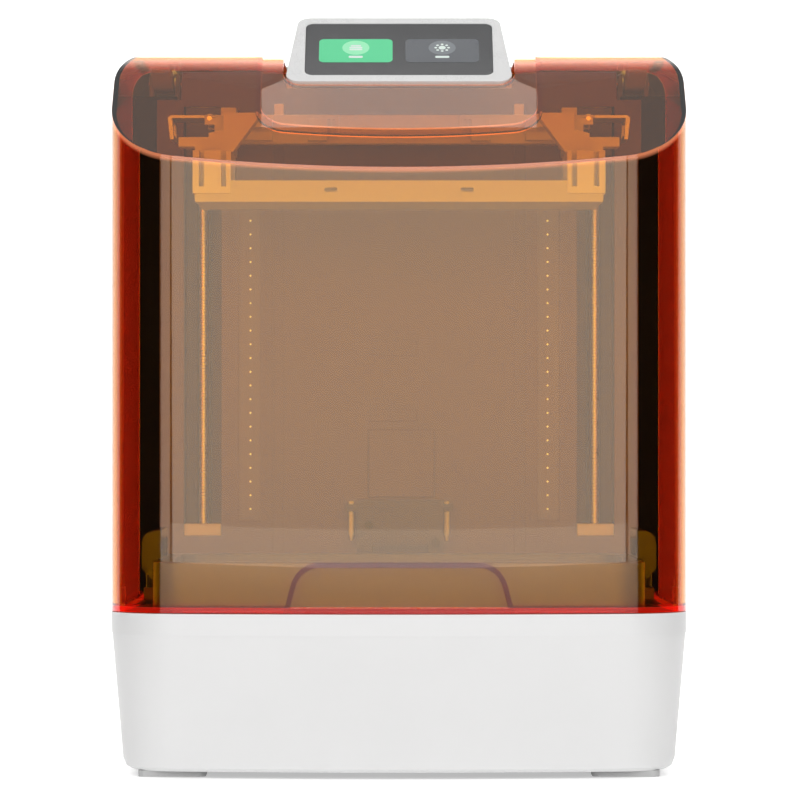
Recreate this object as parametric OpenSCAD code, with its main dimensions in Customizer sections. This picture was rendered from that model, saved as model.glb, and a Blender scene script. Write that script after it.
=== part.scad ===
// Desktop resin printer: a tapered base with a masking screen, a rear column with twin
// Z screws, a flip-up UV cover and a tilted touch display.
// The front faces -Y, +Z is up, and the origin is on the floor under the body's centre.

/* [Body] */
// Width of the body at the seam between base and cover
body_w = 350; // [340:1:360]
// Depth of the body
body_d = 350; // [345:1:360]
// Height of the seam between base and cover
seam_z = 99.5; // [98:0.5:101]
// Radius of the bowed front
bow_r = 900; // [700:10:1200]
// Radius of the two front corners
corner_r = 45; // [38:1:48]
// Radius of the two rear corners
rear_r = 28; // [20:1:35]
// Wall thickness of the base and the column
wall = 3; // [2.5:0.1:3.5]
// How far each side of the base draws in towards the floor
base_taper = 7; // [4:0.5:9]
// Height of the rubber feet
foot_h = 4; // [3:0.5:5]

/* [Cover] */
// Height of the cover's flat top
lid_top_z = 443; // [442:0.5:446]
// Height of the crease where the front wall turns into the sloping panel
crease_z = 367.5; // [365:0.5:370]
// Slope of the upper front panel in degrees
facet_a = 35; // [33:0.5:37]
// Radius that blends the sloping panel into the flat top
blend_r = 60; // [40:5:80]
// Radius of the cover's top side edges
lid_edge_r = 20; // [14:1:24]
// Wall thickness of the cover
lid_wall = 3; // [2.5:0.1:3.2]
// Depth of the U-shaped dish around the display
dish_depth = 1.4; // [1:0.1:3]

/* [Z drive] */
// Distance of each lead screw from the centre plane
screw_x = 126.5; // [126:0.5:128]
// Depth position of the lead screws
screw_y = 70; // [69:0.5:71]
// Diameter of the lead screws
screw_d = 6; // [5:0.5:6]
// Travel of the build plate
z_travel = 246; // [200:1:246]

/* [Platform] */
// Width of the build plate
plate_w = 248; // [240:1:250]
// Depth of the build plate
plate_d = 130; // [122:1:132]
// Height of the build plate's underside when it is fully raised
plate_z = 348.5; // [348.5:0.5:350]

/* [Resin vat] */
// Outer width of the vat
vat_w = 298; // [296:1:300]
// Height of the vat's rim
vat_top_z = 130; // [128:0.5:130.5]

/* [Display] */
// Slope of the display's face in degrees
display_a = 35; // [33:0.5:37]
// Length of the display's face, up its slope
display_len = 76; // [74:1:78]
// Width of the display's face at its lower edge
display_w = 139; // [136:1:139]

/* [Hidden] */
$fn = 48;
e = 0.01;

front_y = -body_d / 2;
rear_y = body_d / 2;
lid_gap = 0.6;
lid_rear_y = 59.5;
tower_front_y = 62.5;
deck_t = 3;

// Columns, rails and screws
panel_y = 56;
panel_t = 3;
panel_w = 312;
panel_top_z = lid_top_z - lid_wall - dish_depth - 0.4;
channel_w = 24.2;
channel_back_y = 92;
channel_wall = 2;
channel_top_z = lid_top_z - 23;
running = 0.05;
block_z = 140.6;
block_h = 7.5;
head_z = lid_top_z - 25.5;
head_h = 7;

// Platform
plate_front_y = -127;
slab_t = 4.9;
plate_t = 13;
bracket_in_x = 102.2;
bracket_out_x = 125.4;
arm_z = plate_z + 30.05;
tongue_z = plate_z + 50;
tongue_h = 15;
lever_x = 117;
lever_z = arm_z + 22;
lever_y = [-75, -25];

// Vat
vat_front_y = -153;
vat_back_y = 31;
screen_y = (plate_front_y + plate_front_y + plate_d) / 2;
film_z = seam_z + 1.4;

// Hinge of the cover
hinge_y = 88;
hinge_z = lid_top_z - 11;
hinge_x = 152;
hinge_pin_r = 4;

// Display
display_front_y = -94;
display_low_z = 423.9;
display_t = 13;

// ---------- Outlines ----------

// Points of a circular arc
function arc(c, r, a0, a1, n) =
  [for (i = [0:n]) let (a = a0 + (a1 - a0) * i / n) [c[0] + r * cos(a), c[1] + r * sin(a)]];

// A rectangle with a bowed front and tangent front corners, drawn inwards by inset on those sides
function bowed(half_w, y0, bow, corner, inset, y1, back_r) =
  let (
    bow_c = [0, y0 + bow],
    dx = half_w - corner,
    corner_y = bow_c[1] - sqrt(pow(bow - corner, 2) - dx * dx),
    turn = asin(dx / (bow - corner)),
    r = corner - inset,
    back = max(back_r, 0.01)
  )
  concat(
    arc(bow_c, bow - inset, 270 - turn, 270 + turn, 16),
    arc([dx, corner_y], r, 270 + turn, 360, 24),
    arc([half_w - inset - back, y1 - back], back, 0, 90, back_r > 0 ? 10 : 1),
    arc([-(half_w - inset - back), y1 - back], back, 90, 180, back_r > 0 ? 10 : 1),
    arc([-dx, corner_y], r, 180, 270 - turn, 24)
  );

// The body's footprint, drawn in by inset
module footprint(inset = 0, y1 = rear_y, back_r = rear_r) {
  polygon(bowed(body_w / 2, front_y, bow_r, corner_r, inset, y1, back_r));
}

// A flat solid of the footprint between two heights
module slab(z0, z1, inset = 0, y1 = rear_y, back_r = rear_r) {
  translate([0, 0, z0]) linear_extrude(z1 - z0) footprint(inset, y1, back_r);
}

// Extrudes an outline drawn in Y and Z along X
module along_x(w) {
  rotate([90, 0, 90]) linear_extrude(w, center = true) children();
}

// Extrudes an outline drawn in X and Z along Y, from y0 to y1
module along_y(y0, y1) {
  translate([0, y1, 0]) rotate([90, 0, 0]) linear_extrude(y1 - y0) children();
}

// A cuboid given by its lowest and highest corner
module block(low, high) {
  translate(low) cube(high - low);
}

// A rectangle with round corners, centred
module round_rect(w, h, r) {
  polygon(concat(
    arc([w / 2 - r, h / 2 - r], r, 0, 90, 6), arc([-w / 2 + r, h / 2 - r], r, 90, 180, 6),
    arc([-w / 2 + r, -h / 2 + r], r, 180, 270, 6), arc([w / 2 - r, -h / 2 + r], r, 270, 360, 6)
  ));
}

// Its children, and a copy on the other side of the centre plane
module both_sides() {
  children();
  mirror([1, 0, 0]) children();
}

// A socket-head screw pointing down, its head standing on z = 0
module cap_screw(head_r, head_h, shank_r, shank_l) {
  difference() {
    cylinder(r = head_r, h = head_h);
    translate([0, 0, head_h * 0.45]) cylinder(r = head_r * 0.55, h = head_h, $fn = 6);
  }
  translate([0, 0, -shank_l]) cylinder(r = shank_r, h = shank_l + e);
}

// ---------- Base ----------

base_low_z = foot_h;
base_turn_z = seam_z - 13;
floor_z = base_low_z + 2;

// Slices of the base's outside, from the floor up: height and inset
base_slices = [
  [base_low_z, base_taper + 5.5], [base_low_z + 2, base_taper + 2], [base_low_z + 7, base_taper],
  [base_turn_z, 0.4]
];

module base_solid(shrink, low) {
  for (i = [0:len(base_slices) - 2])
    hull() {
      for (s = [base_slices[i], base_slices[i + 1]])
        translate([0, 0, s[0] + low]) linear_extrude(e)
          footprint(s[1] + shrink, rear_y - shrink, rear_r - shrink);
    }
}

inlet_c = [-112, 50];
switch_c = [-76, 50];
usb_c = [-44, 50];
fan_c = [48, 50];
fan_size = 60;

module base_shell() {
  color("whitesmoke") difference() {
    union() {
      base_solid(0, 0);
      slab(base_turn_z, seam_z, 0);
    }
    base_solid(wall, floor_z - base_low_z + 1);
    slab(base_low_z - 1, base_turn_z + 4, base_taper + wall + 6, rear_y - wall, rear_r - wall);
    slab(base_turn_z + 3.5, seam_z + 1, wall, rear_y - wall, rear_r - wall);
    // Openings in the rear wall
    rear_window(inlet_c, 27.4, 20.4);
    rear_window(switch_c, 22, 18);
    rear_window(usb_c, 14.4, 7.4);
    for (i = [-4:4])
      rear_window([fan_c[0] + i * 6, fan_c[1]], 3, 2 * sqrt(900 - pow(i * 6, 2)) - 6);
  }
}

// A rectangular window through the rear wall, about a centre in X and Z
module rear_window(c, w, h) {
  block([c[0] - w / 2, rear_y - wall - 3, c[1] - h / 2], [c[0] + w / 2, rear_y + 1, c[1] + h / 2]);
}

module base_floor() {
  color("dimgray") difference() {
    slab(base_low_z, floor_z, base_taper + wall + 6.4, rear_y - wall - 0.4, rear_r - wall - 0.4);
    for (x = [-6:6]) block([x * 12 - 3, -100, 0], [x * 12 + 3, -40, 10]);
  }
}

feet_c = [[137.5, -128], [137.5, 135]];

module feet() {
  color("gray") both_sides() for (c = feet_c)
    translate([c[0], c[1], 0]) linear_extrude(foot_h - e) round_rect(41, 30, 6);
}

// Cross-section openings of the deck
screen_w = 230;
screen_d = 136;

module deck_plate() {
  color("dimgray") difference() {
    slab(seam_z - deck_t, seam_z - 0.05, wall + 0.3, rear_y - wall - 0.3, rear_r - wall - 0.3);
    block([-screen_w / 2 - 0.2, screen_y - screen_d / 2 - 0.2, seam_z - 10],
      [screen_w / 2 + 0.2, screen_y + screen_d / 2 + 0.2, seam_z + 1]);
    both_sides() {
      translate([screw_x, screw_y, seam_z - 10]) cylinder(r = 11.2, h = 20);
      for (x = [-15.5, 15.5], y = [-15.5, 15.5])
        translate([screw_x + x, screw_y + y, seam_z - 10]) cylinder(r = 1.6, h = 20);
      translate([vat_knob_x, vat_knob_y, seam_z - 10]) cylinder(r = 2.1, h = 20);
    }
    block([-60, 110, seam_z - 10], [60, 150, seam_z + 1]);
  }
}

module mask_screen() {
  color("black") block([-screen_w / 2, screen_y - screen_d / 2, seam_z - 2],
    [screen_w / 2, screen_y + screen_d / 2, seam_z + 0.9]);
}

// ---------- Light engine ----------

hood_low = 40;
hood_high = seam_z - deck_t - 1;

// A four-sided funnel between two rectangles
module funnel(w0, d0, w1, d1, z0, z1) {
  hull() {
    translate([-w0 / 2, screen_y - d0 / 2, z0]) cube([w0, d0, e]);
    translate([-w1 / 2, screen_y - d1 / 2, z1]) cube([w1, d1, e]);
  }
}

module light_hood() {
  color("darkslategray") difference() {
    funnel(130, 96, 240, 146, hood_low, hood_high);
    funnel(125, 91, 235, 141, hood_low - 1, hood_high + 1);
  }
}

module collimating_lens() {
  color("lightblue") intersection() {
    funnel(124, 90, 234, 140, hood_low - 1, hood_high + 1);
    block([-130, -150, hood_high - 9], [130, 100, hood_high - 6.5]);
  }
}

module uv_led_board() {
  color("seagreen") {
    block([-64, screen_y - 47, hood_low - 2], [64, screen_y + 47, hood_low - 0.1]);
    for (i = [-3:3], j = [-2:2])
      translate([i * 16, screen_y + j * 16, hood_low - 0.1 - e]) cylinder(r = 3, h = 2.5, $fn = 24);
  }
}

module heat_sink() {
  color("silver") {
    block([-64, screen_y - 47, hood_low - 7], [64, screen_y + 47, hood_low - 2.05]);
    for (i = [-8:8]) block([i * 7.5 - 1, screen_y - 47, 12], [i * 7.5 + 1, screen_y + 47, hood_low - 7 + e]);
  }
}

fan_y = [150, 170];

module fan_frame() {
  size = fan_size / 2;
  pin_h = (fan_y[1] - fan_y[0]) / 2 + 4;
  color("black") translate([fan_c[0], fan_y[0], fan_c[1]]) rotate([-90, 0, 0]) union() {
    difference() {
      translate([-size, -size, 0]) cube([fan_size, fan_size, fan_y[1] - fan_y[0]]);
      translate([0, 0, -1]) cylinder(r = 28, h = 30);
      for (x = [-25, 25], y = [-25, 25]) translate([x, y, -1]) cylinder(r = 2, h = 30, $fn = 24);
    }
    cylinder(r = 11, h = 2.5);
    translate([0, 0, 1]) cylinder(r = 1.5, h = pin_h - 1);
    for (a = [0, 90, 180, 270]) rotate([0, 0, a]) translate([10, -1.2, 0.3]) cube([19.5, 2.4, 1.9]);
  }
}

module fan_rotor() {
  color("dimgray") translate([fan_c[0], fan_y[0] + 4, fan_c[1]]) rotate([-90, 0, 0]) {
    difference() {
      cylinder(r = 12, h = 13);
      translate([0, 0, -1]) cylinder(r = 1.5 + running, h = 12);
    }
    for (i = [0:6]) rotate([0, 0, i * 360 / 7])
      translate([11.5, 0, 6.5]) rotate([38, 0, 0]) translate([0, -6.5, -0.8]) cube([14.5, 13, 1.6]);
  }
}

// ---------- Electronics ----------

module mainboard() {
  color("darkgreen") {
    block([-80, 60, 12], [40, 138, 13.6]);
    block([-70, 70, 13.6 - e], [-50, 90, 22]);
    block([-40, 100, 13.6 - e], [-16, 124, 17]);
    for (i = [0:3]) block([-10 + i * 12, 66, 13.6 - e], [-2 + i * 12, 74, 20]);
    block([6, 96, 13.6 - e], [30, 128, 19]);
  }
  color("silver") for (x = [-76, 36], y = [64, 134])
    translate([x, y, floor_z + 0.05]) cylinder(r = 3, h = 12 - floor_z - 0.05 + e, $fn = 24);
}

module power_supply() {
  color("silver") difference() {
    block([-158, 28, 8], [-104, 145, 46]);
    for (i = [0:9]) block([-150, 40 + i * 10, 44], [-112, 44 + i * 10, 47]);
  }
  color("silver") for (y = [34, 139])
    translate([-131, y, floor_z + 0.05]) cylinder(r = 4, h = 8 - floor_z - 0.05 + e, $fn = 24);
}

// The mains socket: a flange outside, a shell through the wall and three flat pins
module power_inlet() {
  color("black") translate([inlet_c[0], 0, inlet_c[1]]) {
    difference() {
      union() {
        along_y(rear_y - 22, rear_y - 1) square([27, 20], center = true);
        along_y(rear_y - 5.5, rear_y - wall - 0.05) square([33, 26], center = true);
      }
      along_y(rear_y - 17, rear_y + 1) polygon([
        [-11.5, -7], [11.5, -7], [11.5, 3.5], [7.5, 7.5], [-7.5, 7.5], [-11.5, 3.5]
      ]);
    }
    for (p = [[-7, -1.5], [0, 2], [7, -1.5]])
      block([p[0] - 1, rear_y - 17 - e, p[1] - 2], [p[0] + 1, rear_y - 6, p[1] + 2]);
  }
}

rocker_a = 8;
rocker_y = rear_y - 7;

// The frame that carries the rocker, with a bore for its pivot
module switch_frame() {
  color("black") translate([switch_c[0], 0, switch_c[1]]) difference() {
    union() {
      along_y(rear_y - 14, rear_y - 0.3) square([21.8, 17.8], center = true);
      along_y(rear_y - 8, rear_y - wall - 0.05) square([27, 23], center = true);
    }
    along_y(rear_y - 13, rear_y + 1) square([18.6, 15.2], center = true);
    translate([0, rocker_y, 0]) rotate([0, 90, 0]) cylinder(r = 2 + running, h = 20.4, center = true);
  }
}

// The rocker: two half faces that meet at a ridge, on a round pivot
module power_switch() {
  color("red") translate([switch_c[0], rocker_y, switch_c[1]]) rotate([rocker_a, 0, 0]) {
    rotate([0, 90, 0]) cylinder(r = 2, h = 20, center = true);
    along_x(18) polygon([[-2.5, -4], [5, -6.4], [4, 0], [5, 6.4], [-2.5, 4]]);
  }
}

module usb_port() {
  color("silver") translate([usb_c[0], 0, usb_c[1]]) {
    difference() {
      along_y(rear_y - 18, rear_y - 0.5) square([14, 7], center = true);
      along_y(rear_y - 16, rear_y + 1) square([12.6, 5.6], center = true);
    }
    along_y(rear_y - 16 - e, rear_y - 6) translate([0, 1.6]) square([11, 1.6], center = true);
  }
}

// ---------- Column ----------

module tower_footprint(inset) {
  intersection() {
    footprint(inset, rear_y - inset, rear_r - inset);
    translate([-body_w, tower_front_y]) square([2 * body_w, body_d]);
  }
}

// The top edge of cover and column, seen from the front
module round_top(inset) {
  half = body_w / 2 - inset;
  top = lid_top_z - inset;
  r = lid_edge_r - inset;
  polygon(concat(
    [[-half, 0], [half, 0]], arc([half - r, top - r], r, 0, 90, 10), arc([-half + r, top - r], r, 90, 180, 10)
  ));
}

// The column's rear top edge, seen from the side
module rear_top(inset) {
  r = lid_edge_r - 6 - inset;
  high = lid_top_z - inset;
  back = rear_y - inset;
  polygon(concat([[0, 0], [back, 0]], arc([back - r, high - r], r, 0, 90, 8), [[0, high]]));
}

slot_half = 7.5;
slot_back_y = hinge_y + 17;
cover_w = 220;
cover_z = [130, 392];
cover_screws = [
  for (x = [-1, 1]) for (z = [cover_z[0] + 10, 261, cover_z[1] - 10]) [x * (cover_w / 2 - 3), z]
];

module tower_shell() {
  color("whitesmoke") difference() {
    intersection() {
      translate([0, 0, seam_z + 0.05]) linear_extrude(lid_top_z - seam_z) tower_footprint(0);
      along_y(0, rear_y + 1) round_top(0);
      along_x(body_w + 10) rear_top(0);
    }
    intersection() {
      translate([0, 0, seam_z - 1]) linear_extrude(lid_top_z - seam_z) translate([0, -wall])
        tower_footprint(wall);
      along_y(0, rear_y + 1) round_top(wall);
      along_x(body_w + 10) rear_top(wall);
    }
    // Slots for the cover's two hinge arms
    both_sides() block([hinge_x - slot_half, tower_front_y - 5, lid_top_z - 20],
      [hinge_x + slot_half, slot_back_y, lid_top_z + 1]);
    // Opening behind the rear cover
    block([-cover_w / 2 + 6, rear_y - 10, cover_z[0] + 6], [cover_w / 2 - 6, rear_y + 1, cover_z[1] - 6]);
    for (p = cover_screws) translate([p[0], rear_y - 10, p[1]]) rotate([-90, 0, 0])
      cylinder(r = 1.6, h = 12, $fn = 24);
    // Seat for the rear cover
    block([-cover_w / 2 - 0.2, rear_y - 1.5, cover_z[0] - 0.2],
      [cover_w / 2 + 0.2, rear_y + 1, cover_z[1] + 0.2]);
  }
}

strip_x = 96.2;
strip_w = 13.6;
led_x = 95.6;
led_pitch = 8.84;
led_low_z = 157.8;
led_n = 22;

groove = 0.7;

// Front sheet of the column, with a folded channel for each screw and a groove for each strip
module tower_panel() {
  low = seam_z + 0.05;
  color("dimgray") difference() {
    union() {
      block([-panel_w / 2, panel_y, low], [panel_w / 2, panel_y + panel_t, 420]);
      block([-140, panel_y, 420 - e], [140, panel_y + panel_t, neck_low_z - 0.2]);
      both_sides() block([neck_w / 2 + 0.4, panel_y, neck_low_z - 1], [140, panel_y + panel_t, panel_top_z]);
      both_sides() block([screw_x - channel_w / 2 - channel_wall, panel_y + 1, low],
        [screw_x + channel_w / 2 + channel_wall, channel_back_y + 3, channel_top_z + 8]);
    }
    both_sides() {
      block([screw_x - channel_w / 2, panel_y - 1, block_z - 0.1],
        [screw_x + channel_w / 2, panel_y + 4, tongue_z + tongue_h + 2]);
      block([screw_x - channel_w / 2, panel_y + panel_t, low - 1],
        [screw_x + channel_w / 2, channel_back_y, channel_top_z + 9]);
      block([strip_x - strip_w / 2 - 0.2, panel_y - 1, led_low_z - 8],
        [strip_x + strip_w / 2 + 0.2, panel_y + 1.2, led_low_z + led_pitch * (led_n - 1) + 8]);
    }
    // Outline grooves of two blanking plates
    for (z = [[256.4, 266.7], [214.1, 222.2]]) difference() {
      block([-19.3, panel_y - 1, z[0]], [11.9, panel_y + 1.5, z[1]]);
      block([-19.3 + groove, panel_y - 2, z[0] + groove], [11.9 - groove, panel_y + 2, z[1] - groove]);
    }
    // Seat for the service cover
    block([-19.5 - groove, panel_y - 1, 165.6 - groove], [22.5 + groove, panel_y + 1.5, 208.7 + groove]);
    both_sides() block([74.2, panel_y - 1, 130], [81.2, panel_y + 0.8, 415]);
    // Room for the heads of the motor screws
    both_sides() for (x = [-15.5, 15.5]) block([screw_x + x - 3.2, panel_y - 1, low - 1],
      [screw_x + x + 3.2, channel_back_y + 8, low + 4]);
  }
}

// Dark strips that close the column beside the panel
module column_bezels() {
  color("black") both_sides() block([screw_x + 16.5, tower_front_y + 0.1, seam_z + 0.1],
    [body_w / 2 - wall - 0.1, tower_front_y + 3.1, lid_top_z - 20.5]);
}

// Strips of black rubber on the column's front edges that stop light beside the cover
module cover_seals() {
  color("black") both_sides() block([body_w / 2 - wall + 0.3, lid_rear_y + 0.7, seam_z + 2],
    [body_w / 2 - 0.3, tower_front_y - 0.05, lid_top_z - 22]);
}

module service_cover() {
  color("darkgray") block([-19.5, panel_y - 0.2, 165.6], [22.5, panel_y + 1.45, 208.7]);
}

module light_strips() {
  high = led_low_z + led_pitch * (led_n - 1);
  color("white") both_sides() {
    block([strip_x - strip_w / 2, panel_y + 0.2, led_low_z - 7],
      [strip_x + strip_w / 2, panel_y + 1.15, high + 7]);
    for (i = [0:led_n - 1])
      block([led_x - 1.2, panel_y - 0.6, led_low_z + i * led_pitch - 1.2],
        [led_x + 1.2, panel_y + 0.2 + e, led_low_z + i * led_pitch + 1.2]);
  }
}

rail_low_z = plate_z - z_travel + 12.5;

module rails() {
  color("silver") both_sides() difference() {
    block([screw_x - 4.5, channel_back_y - 6, rail_low_z],
      [screw_x + 4.5, channel_back_y - 0.05, channel_top_z - 2]);
    for (z = [125:20:405])
      translate([screw_x, channel_back_y - 7, z]) rotate([-90, 0, 0]) {
        cylinder(r = 1.8, h = 10, $fn = 24);
        cylinder(r = 3, h = 3.5, $fn = 24);
      }
    for (s = [-1, 1]) block([screw_x + s * 4.5 - 0.7, channel_back_y - 4.2, 100],
      [screw_x + s * 4.5 + 0.7, channel_back_y - 2.8, 430]);
  }
}

// A block that holds one end of a lead screw in a running bore
module screw_block(y, z, h) {
  difference() {
    block([screw_x - channel_w / 2 + 0.1, y, z], [screw_x + channel_w / 2 - 0.1, screw_y + 7, z + h]);
    translate([screw_x, screw_y, z - 1]) cylinder(d = screw_d + 2 * running, h = h + 2);
  }
}

module foot_blocks() {
  color("whitesmoke") both_sides() screw_block(panel_y + 1.5, block_z, block_h);
}

module head_blocks() {
  color("whitesmoke") both_sides() screw_block(panel_y + panel_t + 0.1, head_z, head_h);
}

motor_top = seam_z - deck_t - 0.05;
motor_h = 40;
shaft_top = 124;

module motors() {
  color("dimgray") both_sides() translate([screw_x, screw_y, 0]) difference() {
    union() {
      translate([0, 0, motor_top - motor_h]) linear_extrude(motor_h) polygon([
        for (q = [0:3]) for (p = [[21.1, 17], [17, 21.1]])
          [p[0] * cos(90 * q) - p[1] * sin(90 * q), p[0] * sin(90 * q) + p[1] * cos(90 * q)]
      ]);
      translate([0, 0, motor_top - e]) cylinder(r = 11, h = 2);
    }
    translate([0, 0, motor_top - motor_h - 1]) cylinder(d = 5 + 2 * running, h = motor_h + 10);
    for (x = [-15.5, 15.5], y = [-15.5, 15.5])
      translate([x, y, motor_top - 8]) cylinder(r = 1.5, h = 20, $fn = 24);
  }
}

// The motor's shaft and the clamp that joins it to the screw
module coupling() {
  color("silver") translate([screw_x, screw_y, 0]) {
    translate([0, 0, motor_top - motor_h + 2]) cylinder(d = 5, h = shaft_top - motor_top + motor_h - 2);
    difference() {
      translate([0, 0, 111]) cylinder(r = 6.5, h = 28);
      translate([0, 0, 110]) cylinder(d = 5, h = shaft_top - 110 + e);
      translate([0, 0, 127]) cylinder(d = screw_d, h = 20);
      for (z = [116, 133]) block([-10, -0.5, z], [-3, 0.5, z + 4]);
    }
  }
}

module lead_screw() {
  color("silver") translate([screw_x, screw_y, 127]) cylinder(d = screw_d, h = head_z + head_h + 1 - 127);
}

// ---------- Resin feed ----------

feed_x = [-27, 28.6];
feed_z = [129.5, 163.8];
feed_screws = [[-19.3, 147.8], [23.7, 136.5]];
probe_half = 30.6;
probe_y = panel_y - 6.5;

module feed_bracket() {
  color("gray") difference() {
    union() {
      block([feed_x[0], panel_y - 14, feed_z[0]], [feed_x[1], panel_y - 0.05, feed_z[1]]);
      both_sides() translate([probe_half, probe_y, 0]) block([-4, -3.5, 156.5], [4, 3.5, 161]);
    }
    block([feed_x[0] + 10, panel_y - 20, feed_z[0] - 1], [feed_x[1] - 9.6, panel_y - 4, feed_z[0] + 5]);
    for (p = feed_screws)
      translate([p[0], panel_y - 20, p[1]]) rotate([-90, 0, 0]) cylinder(r = 1.6, h = 25, $fn = 24);
    both_sides() translate([probe_half, probe_y, 137]) cylinder(r = 1.85, h = 30, $fn = 32);
  }
}

module level_probes() {
  color("ivory") both_sides() translate([probe_half, probe_y, 0]) {
    translate([0, 0, 141]) cylinder(r = 1.8, h = 22, $fn = 32);
    translate([0, 0, 137.5]) cylinder(r1 = 0.6, r2 = 1.4, h = 3.5 + e, $fn = 32);
  }
}

// ---------- Display ----------

// Places a shape on the display's face: X across, Y up the slope, Z out of the face
module on_face() {
  translate([0, display_front_y, display_low_z]) rotate([display_a, 0, 0]) children();
}

display_top_w = display_w - 12;

module display_plan(inset) {
  r = 8;
  w0 = display_w / 2 - inset;
  w1 = display_top_w / 2 - inset;
  polygon(concat(
    arc([w1 - r, display_len - inset - r], r, 0, 90, 8),
    arc([-w1 + r, display_len - inset - r], r, 90, 180, 8),
    arc([-w0 + r, inset + r], r, 180, 270, 8), arc([w0 - r, inset + r], r, 270, 360, 8)
  ));
}

glass_w = 116;
glass_l = 61.6;
glass_mid = 38.3;
display_under_z = display_low_z - 4.9;

module display_housing() {
  color("whitesmoke") difference() {
    on_face() translate([0, 0, -display_t]) linear_extrude(display_t) display_plan(0);
    // Hollow inside, and a flat underside behind the thin front edge
    difference() {
      on_face() translate([0, 0, -display_t + 2.5]) linear_extrude(display_t - 5) display_plan(2.5);
      block([-90, -120, 400], [90, 0, display_under_z + 2.5]);
    }
    block([-90, -120, 400], [90, 0, display_under_z]);
    on_face() translate([0, glass_mid, -3]) linear_extrude(5) round_rect(glass_w + 0.4, glass_l + 0.4, 5);
    on_face() block([-20, 40, -display_t - 1], [20, 60, -display_t + 4]);
  }
}

module display_glass() {
  color("black") on_face() translate([0, glass_mid, -2.4]) linear_extrude(2.2)
    round_rect(glass_w, glass_l, 4.8);
}

module display_board() {
  color("darkgreen") on_face() {
    block([-52, 16, -6.4], [52, 66, -4.8]);
    block([-14, 30, -8.6], [6, 46, -6.4 + e]);
    block([18, 24, -9.4], [34, 34, -6.4 + e]);
  }
}

// The arm that carries the display forward from the column, below the cover's notch
neck_w = 112;
neck_low_z = lid_top_z - 12;
neck_top_z = lid_top_z - 3.4;
neck_rear_y = tower_front_y + 30;

module display_neck() {
  back_y = display_front_y + display_len * cos(display_a) + display_t * sin(display_a) - 3;
  color("whitesmoke") difference() {
    along_x(neck_w) polygon([
      [-52, neck_low_z], [neck_rear_y, neck_low_z], [neck_rear_y, neck_top_z], [back_y, neck_top_z],
      [back_y, lid_top_z + 9], [back_y - 5, lid_top_z + 11]
    ]);
    on_face() block([-90, -20, -display_t - 0.05], [90, 100, 30]);
    block([-40, -60, neck_low_z + 2.5], [40, neck_rear_y + 1, neck_top_z - 2]);
  }
}

// ---------- Cover ----------

// Side view of the cover's top: the slope, the blend and the flat top, drawn in by inset
module lid_side(inset, drop = 0) {
  slope = [cos(facet_a), sin(facet_a)];
  normal = [-sin(facet_a), cos(facet_a)];
  c_z = lid_top_z - blend_r;
  c_y = front_y + (blend_r + normal[1] * (c_z - crease_z)) / sin(facet_a);
  c = [c_y, c_z];
  r = blend_r - inset - drop;
  start = c + r * normal - 250 * slope;
  polygon(concat(
    [[lid_rear_y + 20, 0], [lid_rear_y + 20, c_z + r]],
    arc(c, r, 90, 90 + facet_a, 12),
    [start, [start[0], 0]]
  ));
}

dish_half = 84.5;
dish_front_y = front_y + 36;
dish_bow_r = 560;
notch_half = 71.5;
notch_front_y = -95;

// The U-shaped dish around the display, seen from above, drawn out by grow
module dish_plan(grow) {
  polygon(bowed(dish_half, dish_front_y, dish_bow_r, 18, -grow, lid_rear_y + 10, 0));
}

module lid_solid(inset, low) {
  intersection() {
    slab(low, lid_top_z + 5, inset, lid_rear_y + (inset > 0 ? 5 : 0), 0);
    along_y(front_y - 5, lid_rear_y + 10) round_top(inset);
    union() {
      difference() {
        along_x(body_w + 10) lid_side(inset);
        translate([0, 0, -1]) linear_extrude(lid_top_z + 10) dish_plan(inset);
      }
      along_x(body_w + 10) lid_side(inset, dish_depth);
    }
  }
}

grip_low_z = seam_z + 3.6;
grip_high_z = seam_z + 28;
grip_depth = 12;
grip_r = 15;
grip_lean = 15;

// The finger grip in the cover's front, seen from the front, drawn out by grow
module grip_shape(grow) {
  c = [47.5, grip_high_z - grip_r];
  r = grip_r + grow;
  side = c + r * [cos(grip_lean), sin(grip_lean)];
  low = grip_low_z - grow;
  foot = side[0] + (side[1] - low) * tan(grip_lean);
  polygon(concat(
    [[-foot, low], [foot, low]], arc(c, r, grip_lean, 90, 8), arc([-c[0], c[1]], r, 90, 180 - grip_lean, 8)
  ));
}

rim_h = 4.6;
rim_t = 4.5;

module lid_shell() {
  low = seam_z + lid_gap;
  color([1, 0.45, 0.1, 0.55]) difference() {
    union() {
      difference() {
        lid_solid(0, low);
        lid_solid(lid_wall, low - 5);
      }
      intersection() {
        slab(low, lid_top_z, 1, lid_rear_y, 0);
        along_y(front_y, front_y + grip_depth + lid_wall) grip_shape(lid_wall);
      }
      // Thick rim along the lower edge
      difference() {
        slab(low, low + rim_h, 1, lid_rear_y, 0);
        slab(low - 1, low + rim_h + 1, lid_wall + rim_t, lid_rear_y + 5, 0);
      }
    }
    along_y(front_y - 1, front_y + grip_depth) grip_shape(0);
    // Notch that the display stands in
    linear_extrude(lid_top_z + 10)
      polygon(bowed(notch_half, notch_front_y, 100 * bow_r, 12, 0, lid_rear_y + 10, 0));
  }
}

// Hinge arms: a bar under each side of the cover's top, with a round eye on the pin
module hinge_arms() {
  eye_r = 7;
  pad_z = lid_top_z - lid_wall - 0.35;
  color("whitesmoke") both_sides() difference() {
    translate([hinge_x, 0, 0]) union() {
      translate([0, hinge_y, hinge_z]) rotate([0, 90, 0]) cylinder(r = eye_r, h = 12, center = true);
      along_x(12) polygon([
        [18, pad_z], [18, pad_z - 4], [40, hinge_z - 5], [hinge_y, hinge_z - 5],
        [hinge_y, hinge_z + 5], [66, hinge_z + 5], [58, pad_z]
      ]);
    }
    translate([hinge_x, hinge_y, hinge_z]) rotate([0, 90, 0])
      cylinder(r = hinge_pin_r + running, h = 30, center = true);
  }
}

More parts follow.
